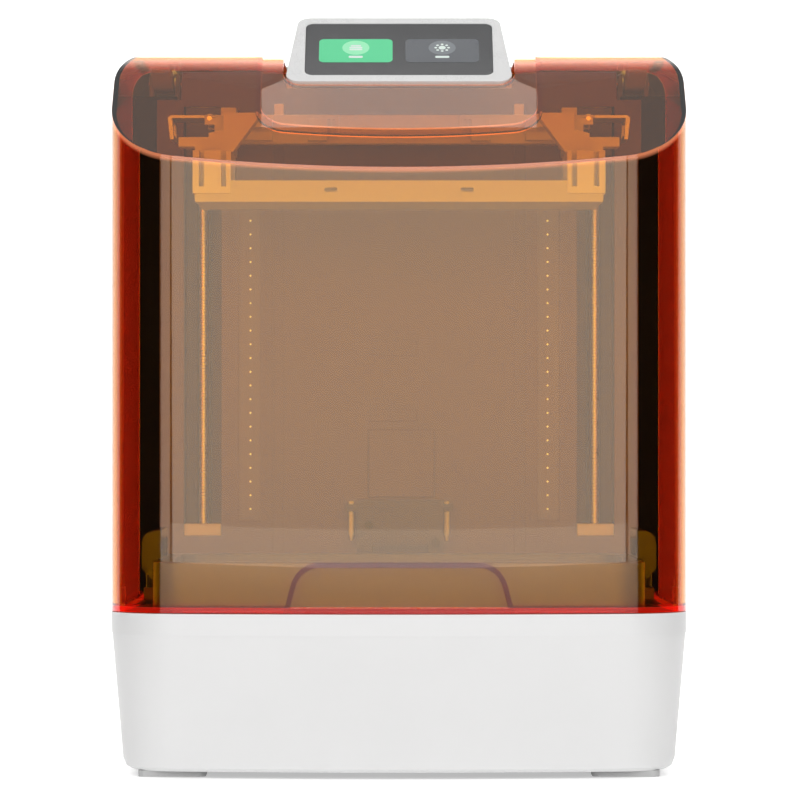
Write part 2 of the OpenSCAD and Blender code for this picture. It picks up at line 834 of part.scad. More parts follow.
// Pairs of ears that hold the hinge pins inside the column
module hinge_brackets() {
  color("dimgray") both_sides() difference() {
    union() {
      for (s = [-1, 1]) along_x_at(hinge_x + s * 8.4, 3) polygon([
        [hinge_y - 10, hinge_z - 24], [slot_back_y + 8, hinge_z - 24], [slot_back_y + 8, hinge_z - 12],
        [hinge_y + 8, hinge_z + 6], [hinge_y - 8, hinge_z + 6], [hinge_y - 10, hinge_z - 10]
      ]);
      block([hinge_x - 9.9, hinge_y - 10, hinge_z - 27],
        [hinge_x + 9.9, slot_back_y + 8, hinge_z - 24 + e]);
    }
    translate([hinge_x, hinge_y, hinge_z]) rotate([0, 90, 0]) cylinder(r = hinge_pin_r, h = 30, center = true);
  }
}

// Extrudes an outline drawn in Y and Z along X, about x
module along_x_at(x, w) {
  translate([x, 0, 0]) along_x(w) children();
}

module hinge_pins() {
  color("silver") both_sides() translate([hinge_x, hinge_y, hinge_z]) rotate([0, 90, 0])
    cylinder(r = hinge_pin_r, h = 21, center = true);
}

// ---------- Vat ----------

vat_mid_y = (vat_front_y + vat_back_y) / 2;
vat_d = vat_back_y - vat_front_y;
vat_low_z = film_z + 0.35;
cavity_w = plate_w + 16;
cavity_d = plate_d + 16;
vat_knob_x = 156;
vat_knob_y = 8;
handle_y = [vat_mid_y - 42, vat_mid_y + 42];
handle_top = 148;
handle_out_x = 158;
handle_in_x = 146;

// Bails at the two ends of the vat, each with a finger opening
module vat_handles() {
  low_x = vat_w / 2 + 0.05;
  color("saddlebrown") both_sides() difference() {
    along_y(handle_y[0], handle_y[1]) polygon(concat(
      [[low_x, vat_top_z - 12], [handle_out_x - 6, vat_top_z - 12], [handle_out_x, vat_top_z - 5]],
      arc([handle_out_x - 8, handle_top - 8], 8, 0, 90, 10),
      [[handle_in_x, handle_top], [handle_in_x, vat_top_z + 0.05], [low_x, vat_top_z + 0.05]]
    ));
    block([140, handle_y[0] + 12, vat_top_z + 2], [170, handle_y[1] - 12, handle_top - 6]);
  }
}

module vat_body() {
  color("peru") difference() {
    union() {
      translate([0, vat_mid_y, vat_low_z]) linear_extrude(vat_top_z - vat_low_z) round_rect(vat_w, vat_d, 20);
      both_sides() block([vat_w / 2 - 6, vat_knob_y - 9, vat_low_z],
        [vat_knob_x + 8, vat_knob_y + 9, vat_low_z + 8]);
    }
    translate([0, screen_y, vat_low_z - 1]) linear_extrude(40) round_rect(cavity_w, cavity_d, 6);
    translate([0, screen_y, vat_top_z - 14]) linear_extrude(40) round_rect(cavity_w + 12, cavity_d + 12, 14);
    both_sides() translate([vat_knob_x, vat_knob_y, vat_low_z - 1]) cylinder(r = 2.6, h = 20, $fn = 32);
  }
}

module vat_film() {
  color("lightyellow") translate([0, screen_y, film_z]) linear_extrude(0.3)
    round_rect(cavity_w + 10, cavity_d + 10, 10);
}

module vat_film_ring() {
  color("silver") translate([0, screen_y, seam_z + 0.1]) linear_extrude(film_z - seam_z - 0.15) difference() {
    round_rect(cavity_w + 10, cavity_d + 10, 10);
    round_rect(cavity_w - 10, cavity_d - 8, 8);
  }
}

// Thumb screw that holds the vat down: a fluted head on a shank
module vat_knob() {
  color("black") translate([vat_knob_x, vat_knob_y, vat_low_z + 8.05]) {
    difference() {
      cylinder(r = 7, h = 9);
      for (a = [0:45:359]) rotate([0, 0, a]) translate([7.6, 0, -1]) cylinder(r = 1.6, h = 12, $fn = 24);
    }
    translate([0, 0, -12.5]) cylinder(r = 2, h = 12.5 + e, $fn = 32);
  }
}

// ---------- Platform ----------

module build_plate() {
  y1 = plate_front_y + plate_d;
  half = plate_w / 2;
  box = bracket_in_x - 0.05;
  color("gainsboro") difference() {
    union() {
      block([-half, plate_front_y, plate_z], [half, y1, plate_z + slab_t]);
      block([-box, plate_front_y, plate_z + slab_t - e], [box, y1, plate_z + plate_t]);
    }
    // Pocket in the top that leaves a rim and a cross rib
    for (s = [-1, 1]) block([s > 0 ? 6 : -box + 6, plate_front_y + 12, plate_z + 6],
      [s > 0 ? box - 6 : -6, y1 - 8, plate_z + 20]);
    both_sides() along_y(plate_front_y - 1, plate_front_y + 8)
      translate([41.4, plate_z + 7.3]) round_rect(8, 2.6, 1.25);
  }
}

// Cheeks that stand on the ends of the plate, each with two slots beside its latch tongue
module end_brackets() {
  y0 = plate_front_y;
  z0 = plate_z + slab_t + 0.05;
  z1 = plate_z + 30;
  color("whitesmoke") both_sides() difference() {
    block([bracket_in_x, y0, z0], [bracket_out_x, -40, z1]);
    for (x = [105.2, 118.6]) block([x, y0 - 1, z0 + 4.5], [x + 2.8, y0 + 16, z1 + 1]);
    block([105.2 + e, y0 + 7, z0 + 4.5], [118.6 + e, y0 + 16, z1 + 1]);
    block([bracket_in_x + 5, y0 + 24, z0 + 5], [bracket_out_x - 5, -48, z1 + 1]);
  }
}

beam_x = [104, 113.9];
beam_z = [arm_z + 4, arm_z + 24];

// Arms from the column to the two ends of the plate
module arms() {
  head_y = [-96, -70];
  out_x = bracket_out_x + 10;
  color("whitesmoke") both_sides() difference() {
    union() {
      along_y(head_y[0], head_y[1]) polygon([
        [bracket_in_x, arm_z], [bracket_out_x, arm_z], [bracket_out_x, arm_z + 3.5], [out_x, arm_z + 3.5],
        [out_x, arm_z + 9.5], [117, arm_z + 9.5], [117, arm_z + 12], [108, arm_z + 14],
        [108, arm_z + 24.5], [86.5, arm_z + 24.5], [86.5, arm_z + 21]
      ]);
      block([beam_x[0], head_y[1] - e, arm_z], [beam_x[1], -40, beam_z[1]]);
      block([beam_x[0], -40 - e, beam_z[0]], [beam_x[1], 54, beam_z[1]]);
      block([beam_x[0], 30, beam_z[1] - e], [beam_x[1], 54, tongue_z + tongue_h]);
      // Lugs for the lever's pin
      for (y = [lever_y[0] - 4, lever_y[1] + 0.5])
        block([beam_x[1] - 2, y, lever_z - 4], [lever_x + 3, y + 3.5, lever_z + 2]);
      block([beam_x[1] - 6, lever_y[0] - 4, arm_z + 9], [beam_x[1], head_y[1] + 1, lever_z + 2]);
    }
    along_y(lever_y[0] - 10, lever_y[1] + 10) translate([lever_x, lever_z]) circle(r = 1.5, $fn = 32);
    // Lightening pocket along the beam's outer side
    block([beam_x[1] - 5, -16, beam_z[0] + 4], [beam_x[1] + 1, 26, beam_z[1] - 4]);
  }
}

// Brackets on the arms' outer sides: each reaches into its channel and holds a nut
module carriage_brackets() {
  color("dimgray") both_sides() difference() {
    union() {
      block([beam_x[1] + 0.05, 30, beam_z[0]], [screw_x + 9.5, 54, tongue_z + tongue_h]);
      block([screw_x - 9.5, 54 - e, tongue_z], [screw_x + 9.5, channel_back_y - 13.05, tongue_z + tongue_h]);
    }
    translate([screw_x, screw_y, tongue_z - 1]) cylinder(r = 5, h = tongue_h + 2);
  }
}

// Plate that a user lifts to free the platform: a flat with a turned-down lip, on a hinge tube
module release_lever() {
  out_x = lever_x + 26;
  lip_z = lever_z - 13;
  color("whitesmoke") difference() {
    union() {
      along_y(lever_y[0], lever_y[1]) translate([lever_x, lever_z]) circle(r = 3);
      along_y(lever_y[0], lever_y[1]) polygon([
        [lever_x + 2, lever_z + 0.2], [lever_x + 2, lever_z + 2.1], [out_x - 2, lever_z + 2.1],
        [out_x, lever_z + 0.6], [out_x - 1.5, lip_z], [out_x - 4, lip_z], [out_x - 3, lever_z + 0.2]
      ]);
    }
    along_y(lever_y[0] - 1, lever_y[1] + 1) translate([lever_x, lever_z]) circle(r = 1.5 + running, $fn = 32);
    // Finger window in the lip
    block([lever_x + 5, lever_y[0] + 6, lip_z + 3], [out_x + 5, lever_y[1] - 6, lever_z - 1.5]);
  }
}

module lever_pins() {
  color("silver") both_sides() along_y(lever_y[0] - 4, lever_y[1] + 4) translate([lever_x, lever_z])
    circle(r = 1.5, $fn = 32);
}

beam_y = [0, 18];
crossbeam_z = [plate_z + 40.4, plate_z + 58.7];

module crossbeam() {
  half = beam_x[0] - 0.05;
  color("whitesmoke") difference() {
    union() {
      block([-half, beam_y[0], crossbeam_z[0]], [half, beam_y[1], crossbeam_z[1]]);
      both_sides() {
        block([45.5, beam_y[0] - 9, crossbeam_z[0] + 1.5], [57.5, beam_y[0] + e, crossbeam_z[1] - 3]);
        block([73, beam_y[0] + 2, crossbeam_z[1] - e], [79, beam_y[0] + 12, crossbeam_z[1] + 7]);
        block([80, beam_y[0] - 6, crossbeam_z[0] + 2], [100, beam_y[0] + e, crossbeam_z[0] + 7]);
        block([80, beam_y[0] - 6, crossbeam_z[0] + 10], [100, beam_y[0] + e, crossbeam_z[1] - 3]);
      }
    }
    block([-38, beam_y[0] - 1, crossbeam_z[0] + 4], [38, beam_y[0] + 1.2, crossbeam_z[1] + 1]);
    block([-90, beam_y[0] + 4, crossbeam_z[0] - 1], [90, beam_y[1] - 4, crossbeam_z[1] - 4]);
    both_sides() for (x = [40.5, 44]) block([x, beam_y[0] - 1, crossbeam_z[0] + 4],
      [x + 2, beam_y[0] + 1.5, crossbeam_z[1] - 3]);
  }
}

// Sliding block on each rail
module carriages() {
  y0 = channel_back_y - 13;
  y1 = channel_back_y - 2.5;
  color("silver") both_sides() difference() {
    block([screw_x - 10, y0, plate_z + 36], [screw_x + 10, y1, plate_z + 66]);
    block([screw_x - 4.6, channel_back_y - 6.1, plate_z], [screw_x + 4.6, y1 + 1, plate_z + 80]);
    for (x = [-7, 7], z = [43, 59]) translate([screw_x + x, y0 - 1, plate_z + z]) rotate([-90, 0, 0])
      cylinder(r = 1.25, h = 5, $fn = 24);
  }
}

module nuts() {
  color("goldenrod") both_sides() translate([screw_x, screw_y, 0]) difference() {
    union() {
      translate([0, 0, tongue_z]) cylinder(r = 5, h = tongue_h);
      translate([0, 0, tongue_z + tongue_h + 0.02]) cylinder(r = 8, h = 3);
      translate([0, 0, tongue_z + tongue_h - 1]) cylinder(r = 5, h = 2);
    }
    translate([0, 0, tongue_z - 1]) cylinder(d = screw_d + 2 * running, h = 30);
  }
}

// ---------- Rear cover and fasteners ----------

module rear_cover() {
  color("whitesmoke") difference() {
    block([-cover_w / 2, rear_y - 1.45, cover_z[0]], [cover_w / 2, rear_y - 0.1, cover_z[1]]);
    for (i = [0:11]) for (x = [-1, 0, 1])
      block([x * 58 - 24, rear_y - 5, 210 + i * 9], [x * 58 + 24, rear_y + 1, 213.5 + i * 9]);
    for (p = cover_screws) translate([p[0], rear_y - 5, p[1]]) rotate([-90, 0, 0])
      cylinder(r = 1.7, h = 12, $fn = 24);
  }
}

module case_screws() {
  color("silver") {
    both_sides() for (x = [-15.5, 15.5], y = [-15.5, 15.5])
      translate([screw_x + x, screw_y + y, seam_z]) cap_screw(2.5, 2.5, 1.45, 9);
    for (p = feed_screws) translate([p[0], panel_y - 14.05, p[1]]) rotate([90, 0, 0])
      cap_screw(2.8, 2.6, 1.5, 12);
    for (p = cover_screws) translate([p[0], rear_y - 0.05, p[1]]) rotate([-90, 0, 0])
      cap_screw(2.6, 1.8, 1.5, 4);
  }
}

// ---------- Assembly ----------

base_shell();
base_floor();
feet();
deck_plate();
mask_screen();
light_hood();
collimating_lens();
uv_led_board();
heat_sink();
fan_frame();
fan_rotor();
mainboard();
power_supply();
power_inlet();
switch_frame();
power_switch();
usb_port();
tower_shell();
tower_panel();
column_bezels();
cover_seals();
rear_cover();
light_strips();
rails();
foot_blocks();
head_blocks();
motors();
mirror([1, 0, 0]) coupling();  // left_coupling
coupling();  // right_coupling
mirror([1, 0, 0]) lead_screw();  // left_lead_screw
lead_screw();  // right_lead_screw
feed_bracket();
level_probes();
service_cover();
display_neck();
display_housing();
display_glass();
display_board();
hinge_brackets();
hinge_pins();
hinge_arms();
lid_shell();
vat_body();
vat_handles();
vat_film();
vat_film_ring();
mirror([1, 0, 0]) vat_knob();  // left_vat_knob
vat_knob();  // right_vat_knob
crossbeam();
arms();
carriage_brackets();
carriages();
nuts();
build_plate();
end_brackets();
mirror([1, 0, 0]) release_lever();  // left_release_lever
release_lever();  // right_release_lever
lever_pins();
case_screws();
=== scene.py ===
# %% [markdown]
# # A resin printer under its tinted cover
# The part arrives as finished CAD: a tapered base, a column with two lead screws, a lifting
# platform, a vat, a tilted display and a clear orange cover. Blender's job here is the surface:
# finishes at their real scale, rounded edges that catch light, threads on the screws, small lights
# and the picture on the display. Nothing that the CAD gives is moved or reshaped.

# %% Load the frame
import math

import bmesh
import bpy
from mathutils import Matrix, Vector


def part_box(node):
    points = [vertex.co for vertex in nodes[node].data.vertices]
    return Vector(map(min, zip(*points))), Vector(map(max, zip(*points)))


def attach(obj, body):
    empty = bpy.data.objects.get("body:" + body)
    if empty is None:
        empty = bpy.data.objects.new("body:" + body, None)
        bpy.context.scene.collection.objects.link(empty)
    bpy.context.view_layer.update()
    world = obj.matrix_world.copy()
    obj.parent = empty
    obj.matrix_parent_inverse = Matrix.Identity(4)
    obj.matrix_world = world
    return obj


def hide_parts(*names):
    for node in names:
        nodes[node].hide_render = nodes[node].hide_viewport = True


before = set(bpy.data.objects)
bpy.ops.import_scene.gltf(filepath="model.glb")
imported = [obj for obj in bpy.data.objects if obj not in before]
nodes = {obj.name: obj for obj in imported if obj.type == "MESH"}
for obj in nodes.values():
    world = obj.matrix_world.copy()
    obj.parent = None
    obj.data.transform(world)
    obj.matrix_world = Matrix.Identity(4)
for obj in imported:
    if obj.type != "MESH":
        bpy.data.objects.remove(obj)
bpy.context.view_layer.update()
MM = 0.001

# %% [markdown]
# ## The camera and the room
# A long lens far away keeps the upright edges upright, so the object reads like a drawing of
# itself. The camera stands level with the middle of the object and looks straight at its front.

# %% Camera
front_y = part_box("base_shell")[0].y
camera_distance = 3.0
camera_height = 0.228
camera_data = bpy.data.cameras.new("long_lens")
camera_data.sensor_width = 36
camera_data.lens = 225.6
camera_data.shift_x = 0.00125
camera_data.clip_end = 50
camera = bpy.data.objects.new("long_lens", camera_data)
camera.location = (0, front_y - camera_distance, camera_height)
camera.rotation_euler = (math.radians(90), 0, 0)
bpy.context.scene.collection.objects.link(camera)
bpy.context.scene.camera = camera
print("camera", round(camera_distance, 2), "m in front, lens", camera_data.lens, "mm")

# %% [markdown]
# ## Nodes without clutter
# Materials, lamps' fades and the sky are all small networks of nodes. Adding a node, placing it
# and filling its inputs takes many lines in plain Blender Python, so one helper does all three.


# %% Helper: wiring nodes
def wire(tree, kind, at=(0, 0), **values):
    """Adds a node and sets its inputs by name; a tuple (node, output name) is linked instead."""
    node = tree.nodes.new(kind)
    node.location = at
    for key, value in values.items():
        if key.startswith("set_"):
            setattr(node, key[4:], value)
            continue
        socket = node.inputs[int(key[2:]) if key.startswith("in") and key[2:].isdigit() else key]
        if isinstance(value, tuple) and len(value) == 2 and isinstance(value[0], bpy.types.Node):
            tree.links.new(value[0].outputs[value[1]], socket)
        else:
            socket.default_value = value
    return node


def blank_material(name):
    """An empty node material with its output node."""
    material = bpy.data.materials.new(name)
    material.use_nodes = True
    material.node_tree.nodes.clear()
    output = wire(material.node_tree, "ShaderNodeOutputMaterial", (900, 0))
    return material, material.node_tree, output


print("wire adds a node, blank_material starts an empty material")

# %% [markdown]
# ## The room
# The room is a photographer's white corner. The sky stands for the white flats around the table:
# it is dim near the horizon and brighter overhead, so the cover's upright walls stay dark and
# clear, and its sloping panel carries a soft veil of light.

# %% World
scene = bpy.context.scene
scene.view_settings.view_transform = "Standard"
scene.view_settings.look = "None"
world = bpy.data.worlds.new("white_room")
scene.world = world
world.use_nodes = True
sky = world.node_tree.nodes["Background"]
sky.inputs["Color"].default_value = (1.0, 0.995, 0.985, 1)
heading = wire(world.node_tree, "ShaderNodeTexCoord", (-800, 0))
height = wire(world.node_tree, "ShaderNodeSeparateXYZ", (-600, 0), Vector=(heading, "Generated"))
rise = wire(world.node_tree, "ShaderNodeMapRange", (-400, 0), Value=(height, "Z"))
rise.inputs["From Min"].default_value = 0.2
rise.inputs["To Min"].default_value = 0.35
rise.inputs["To Max"].default_value = 0.9
world.node_tree.links.new(rise.outputs["Result"], sky.inputs["Strength"])
print("sky strength from", round(rise.inputs["To Min"].default_value, 2), "up to",
      round(rise.inputs["To Max"].default_value, 2))

# %% [markdown]
# The floor curves up into the wall, so there is no horizon line. Lamps and cards are both flat
# rectangles that face the object. A lamp lights it. A card is there to be reflected: clear and
# glossy parts show their shape by what they mirror, and a black card draws a dark edge where a
# white one draws a highlight.


# %% Helper: pieces of the set
CARD_WHITE = (0.8, 0.8, 0.8)
CARD_BLACK = (0.01, 0.01, 0.01)


def new_object(name, mesh_or_curve):
    """Puts new data into the scene under one name."""
    thing = bpy.data.objects.new(name, mesh_or_curve)
    bpy.context.scene.collection.objects.link(thing)
    return thing


def stage_paint(name, colour, glow):
    """A matt paint for the set, with some light of its own so that white stays white."""
    paint = bpy.data.materials.new(name)
    paint.use_nodes = True
    shader = paint.node_tree.nodes["Principled BSDF"]
    shader.inputs["Base Color"].default_value = tuple(colour) + (1.0,)
    shader.inputs["Roughness"].default_value = 0.9
    shader.inputs["Emission Color"].default_value = (1, 1, 1, 1)
    shader.inputs["Emission Strength"].default_value = glow
    return paint


def sweep_backdrop(width, depth, height, radius):
    """A floor that turns up into a wall through a quarter circle."""
    profile = [(-6.0, 0.0), (depth - radius, 0.0)]
    for step in range(1, 25):
        turn = math.radians(90 * step / 24)
        profile.append((depth - radius + radius * math.sin(turn), radius - radius * math.cos(turn)))
    profile.append((depth, height))
    mesh = bpy.data.meshes.new("backdrop")
    vertices = [(side * width / 2, y, z) for y, z in profile for side in (-1, 1)]
    faces = [(2 * i, 2 * i + 1, 2 * i + 3, 2 * i + 2) for i in range(len(profile) - 1)]
    mesh.from_pydata(vertices, [], faces)
    mesh.polygons.foreach_set("use_smooth", [True] * len(faces))
    return new_object("backdrop", mesh)


def aim(thing, place, target):
    """Stands a lamp or a card at its place, with its face towards the target."""
    thing.location = place
    thing.rotation_euler = (Vector(target) - Vector(place)).to_track_quat("-Z", "Y").to_euler()


def soft_lamp(name, place, target, size, power):
    """A rectangular soft lamp."""
    data = bpy.data.lights.new(name, "AREA")
    data.shape = "RECTANGLE"
    data.size, data.size_y = size
    data.energy = power
    aim(new_object(name, data), place, target)


def plain_card(name, place, target, size, colour, glow=0.0):
    """A flat card beside the set: black to draw dark edges in clear parts, or white and glowing."""
    mesh = bpy.data.meshes.new(name)
    half_w, half_h = size[0] / 2, size[1] / 2
    corners = [(-half_w, -half_h, 0), (half_w, -half_h, 0), (half_w, half_h, 0), (-half_w, half_h, 0)]
    mesh.from_pydata(corners, [], [(0, 1, 2, 3)])
    mesh.materials.append(stage_paint(name, colour, glow))
    card = new_object(name, mesh)
    aim(card, place, target)
    return card


def fade_card(card, glow):
    """Makes a card's light fade towards its long edges, so its reflection has no hard edge."""
    tree = card.data.materials[0].node_tree
    place = wire(tree, "ShaderNodeTexCoord", (-900, 0))
    split = wire(tree, "ShaderNodeSeparateXYZ", (-700, 0), Vector=(place, "Generated"))
    fold = wire(tree, "ShaderNodeMath", (-500, 0), set_operation="PINGPONG", in0=(split, "Y"), in1=0.5)
    scale = wire(tree, "ShaderNodeMath", (-300, 0), set_operation="MULTIPLY", in0=(fold, "Value"),
                 in1=2 * glow)
    tree.links.new(scale.outputs["Value"], tree.nodes["Principled BSDF"].inputs["Emission Strength"])


print("set pieces: backdrop, soft lamps, plain cards")

# %% [markdown]
# One large lamp in front puts an even veil on the cover's front wall, and its two wings carry that
# veil round the corners. Black flags on both sides keep the corners dark. Behind and above, three
# glowing cards give the top its pale edge, the sloping panel its gradient, and the dish around the
# display its own lighter patch.

# %% Backdrop, lamps and cards
backdrop = sweep_backdrop(9, 2.6, 4.5, 1.2)
backdrop.data.materials.append(stage_paint("white_sweep", (0.86, 0.86, 0.86), 0.42))
middle = (0, 0, 0.25)
soft_lamp("front_bank", (0, -3.9, 0.62), middle, (3.2, 1.8), 55)
soft_lamp("top_flat", (0, -0.7, 2.3), middle, (1.8, 1.2), 7)
for side in (-1, 1):
    plain_card("bank_wing", (2.15 * side, -3.65, 0.62), middle, (1.0, 1.8), CARD_WHITE, 1.5)
    plain_card("side_flag", (1.5 * side, -0.6, 0.55), (0, -0.6, 0.45), (2.7, 1.4), CARD_BLACK)
plain_card("rear_glow", (0, 2.3, 1.75), (0, 0, 0.4), (3.0, 1.5), CARD_WHITE, 2.6)
upper_glow = plain_card("upper_glow", (0, 1.01, 1.6), (0, -0.08, 0.43), (2.4, 1.1), CARD_WHITE)
fade_card(upper_glow, 1.7)
plain_card("overhead_glow", (0, 0.229, 1.2), (0, 0.229, 0.0), (0.215, 0.046), CARD_WHITE, 1.5)

# %% [markdown]
# ## Finishes
# Every hard finish on this machine is the same recipe with other numbers: a base colour that
# drifts a little over centimetres, a roughness that varies, and a fine bump at the size of the
# real grain. `finish` builds that recipe once. Grain sizes are in metres, on object coordinates,
# so a texture keeps its real size on a large shell and on a small screw.


# %% Helper: one recipe for hard finishes
def shade(colour, amount):
    """The same colour, lighter or darker by a share of itself."""
    return tuple(min(1.0, c * (1 + amount)) for c in colour[:3]) + (1.0,)


def finish(name, colour, rough, metal=0.0, grain=0.0006, bump=0.00002, tone=0.04, spread=0.06,
           stretch=(1, 1, 1), drift=0.03, specular=0.5):
    """A hard finish: colour drift, roughness variation and a fine bump, all at real scale."""
    material, tree, output = blank_material(name)
    place = wire(tree, "ShaderNodeTexCoord", (-1200, 0))
    stretched = wire(tree, "ShaderNodeMapping", (-1000, 0), Vector=(place, "Object"), Scale=stretch)
    patches = wire(tree, "ShaderNodeTexNoise", (-800, 250), Vector=(stretched, "Vector"),
                   Scale=1 / drift, Detail=3.0)
    fine = wire(tree, "ShaderNodeTexNoise", (-800, -150), Vector=(stretched, "Vector"), Scale=1 / grain,
                Detail=2.0)
    mixed = wire(tree, "ShaderNodeMix", (-500, 250), set_data_type="RGBA", in0=(patches, "Fac"))
    for socket, amount in ((mixed.inputs[6], -tone), (mixed.inputs[7], tone)):
        socket.default_value = shade(colour, amount)
    blend = wire(tree, "ShaderNodeMath", (-600, 0), set_operation="ADD", in0=(patches, "Fac"),
                 in1=(fine, "Fac"))
    roughness = wire(tree, "ShaderNodeMapRange", (-400, 0), Value=(blend, "Value"))
    roughness.inputs["From Min"].default_value = 0.6
    roughness.inputs["From Max"].default_value = 1.4
    roughness.inputs["To Min"].default_value = max(0.02, rough - spread)
    roughness.inputs["To Max"].default_value = min(1.0, rough + spread)
    relief = wire(tree, "ShaderNodeBump", (-400, -250), Height=(fine, "Fac"), Distance=bump, Strength=1.0)
    shader = wire(tree, "ShaderNodeBsdfPrincipled", (500, 0), Normal=(relief, "Normal"), Metallic=metal)
    tree.links.new(mixed.outputs[2], shader.inputs["Base Color"])
    tree.links.new(roughness.outputs["Result"], shader.inputs["Roughness"])
    shader.inputs["Specular IOR Level"].default_value = specular
    tree.links.new(shader.outputs["BSDF"], output.inputs["Surface"])
    return material


def dress(material, *names):
    """Gives CAD nodes a finish, in their own material slots."""
    for name in names:
        for slot in nodes[name].material_slots:
            slot.material = material
    print(material.name, "on", ", ".join(names))


print("finish builds a material, dress puts it on CAD nodes")


# %% [markdown]
# ### White shells
# The base and the column are steel sheet and moulded plastic under a satin white coat. Up close
# such a coat has a faint orange peel about a millimetre wide, and it is never quite one white.

# %% White coats
shell_white = finish("shell_white", (0.665, 0.665, 0.665), 0.38, grain=0.0011, bump=0.000012, tone=0.015,
                     spread=0.05)
display_white = finish("display_white", (0.64, 0.64, 0.64), 0.28, grain=0.0008, bump=0.000008,
                       tone=0.012, spread=0.04)
gantry_white = finish("gantry_white", (0.78, 0.77, 0.75), 0.36, grain=0.0009, bump=0.000014, tone=0.02,
                      spread=0.06)
dress(shell_white, "base_shell", "tower_shell", "rear_cover")
dress(display_white, "display_housing", "display_neck")
dress(gantry_white, "crossbeam", "arms", "end_brackets", "foot_blocks", "head_blocks")

# %% [markdown]
# ### Metals
# Milled aluminium shows the tool's path as fine parallel streaks, so the grain is stretched along
# one axis. Ground steel is the same with a finer grain. Cast pieces keep an even grain.

# %% Metals
plate_metal = finish("plate_metal", (0.62, 0.61, 0.59), 0.46, metal=0.1, grain=0.0005, bump=0.00001,
                     tone=0.03, spread=0.08, stretch=(1, 14, 14))
vat_metal = finish("vat_metal", (0.17, 0.15, 0.135), 0.34, metal=0.35, grain=0.0006, bump=0.00001,
                   tone=0.05, spread=0.08, stretch=(1, 1, 9))
rail_steel = finish("rail_steel", (0.55, 0.56, 0.58), 0.24, metal=1.0, grain=0.0003, bump=0.000004,
                    tone=0.05, spread=0.06, stretch=(16, 16, 1))
screw_steel = finish("screw_steel", (0.80, 0.78, 0.74), 0.30, metal=0.9, grain=0.0004, bump=0.000004,
                     tone=0.06, spread=0.08)
cast_metal = finish("cast_metal", (0.70, 0.70, 0.69), 0.42, metal=0.8, grain=0.0008, bump=0.00003,
                    tone=0.04, spread=0.08)
turned_metal = finish("turned_metal", (0.74, 0.75, 0.77), 0.28, metal=1.0, grain=0.0004, bump=0.000006,
                      tone=0.05, spread=0.06, stretch=(1, 1, 12))
zinc_sheet = finish("zinc_sheet", (0.62, 0.64, 0.66), 0.36, metal=0.9, grain=0.006, bump=0.000004,
                    tone=0.16, spread=0.10, drift=0.009)
brass = finish("brass", (0.74, 0.55, 0.25), 0.30, metal=1.0, grain=0.0005, bump=0.000005, tone=0.06,
               spread=0.07, stretch=(1, 1, 10))
plated = finish("plated", (0.82, 0.82, 0.84), 0.14, metal=1.0, grain=0.0008, bump=0.000002, tone=0.02,
                spread=0.04)
black_oxide = finish("black_oxide", (0.06, 0.06, 0.065), 0.38, metal=0.8, grain=0.0004, bump=0.000006,
                     tone=0.12, spread=0.1)
lever_steel = finish("lever_steel", (0.50, 0.49, 0.47), 0.38, metal=0.9, grain=0.0004, bump=0.000005,
                     tone=0.04, spread=0.07, stretch=(12, 1, 12))
handle_metal = finish("handle_metal", (0.055, 0.045, 0.038), 0.22, metal=0.5, grain=0.0006, bump=0.00001,
                      tone=0.05, spread=0.06)
dress(plate_metal, "build_plate")
dress(vat_metal, "vat_body")
dress(handle_metal, "vat_handles")
dress(rail_steel, "carriages")
dress(screw_steel, "left_lead_screw", "right_lead_screw", "hinge_pins", "lever_pins")
dress(cast_metal, "vat_film_ring")
dress(turned_metal, "left_coupling", "right_coupling", "heat_sink")
dress(zinc_sheet, "power_supply")
dress(brass, "nuts")
dress(plated, "usb_port")
dress(black_oxide, "case_screws", "motors")
dress(lever_steel, "left_release_lever", "right_release_lever")

# %% [markdown]
# ### Dark sheet, plastics and rubber
# The column's front is a folded steel sheet with a dark powder coat. It looks brown from outside
# because all its light has passed twice through the orange cover.

# %% Dark coats and plastics
panel_coat = finish("panel_coat", (0.20, 0.135, 0.115), 0.55, grain=0.0007, bump=0.00003, tone=0.05,
                    spread=0.08)
deck_coat = finish("deck_coat", (0.16, 0.15, 0.145), 0.5, grain=0.0007, bump=0.00003, tone=0.08,
                   spread=0.08)
floor_coat = finish("floor_coat", (0.10, 0.10, 0.105), 0.5, metal=0.2, grain=0.0009, bump=0.00003,
                    tone=0.08, spread=0.1)
hinge_coat = finish("hinge_coat", (0.42, 0.36, 0.32), 0.5, grain=0.0008, bump=0.00002, tone=0.05,
                    spread=0.08)
feed_coat = finish("feed_coat", (0.11, 0.085, 0.08), 0.45, grain=0.0007, bump=0.00003, tone=0.06,
                   spread=0.08)
black_moulding = finish("black_moulding", (0.028, 0.028, 0.03), 0.48, grain=0.0005, bump=0.00004,
                        tone=0.10, spread=0.08)
hood_plastic = finish("hood_plastic", (0.035, 0.036, 0.038), 0.55, grain=0.0006, bump=0.00004, tone=0.10,
                      spread=0.08)
knob_plastic = finish("knob_plastic", (0.04, 0.04, 0.042), 0.35, grain=0.0006, bump=0.00002, tone=0.10,
                      spread=0.08)
rocker_red = finish("rocker_red", (0.55, 0.025, 0.02), 0.26, grain=0.0008, bump=0.000006, tone=0.05,
                    spread=0.05)
foot_rubber = finish("foot_rubber", (0.47, 0.47, 0.47), 0.78, grain=0.0005, bump=0.00008, tone=0.06,
                     spread=0.08)
probe_ceramic = finish("probe_ceramic", (0.86, 0.85, 0.80), 0.22, grain=0.0009, bump=0.000006, tone=0.02,
                       spread=0.05)
seal_rubber = finish("seal_rubber", (0.005, 0.005, 0.005), 0.85, specular=0.15, grain=0.0006,
                     bump=0.00008, tone=0.1, spread=0.08)
dress(panel_coat, "tower_panel", "service_cover")
dress(deck_coat, "deck_plate")
dress(floor_coat, "base_floor")
dress(hinge_coat, "hinge_brackets", "hinge_arms")
dress(feed_coat, "feed_bracket", "carriage_brackets", "rails")
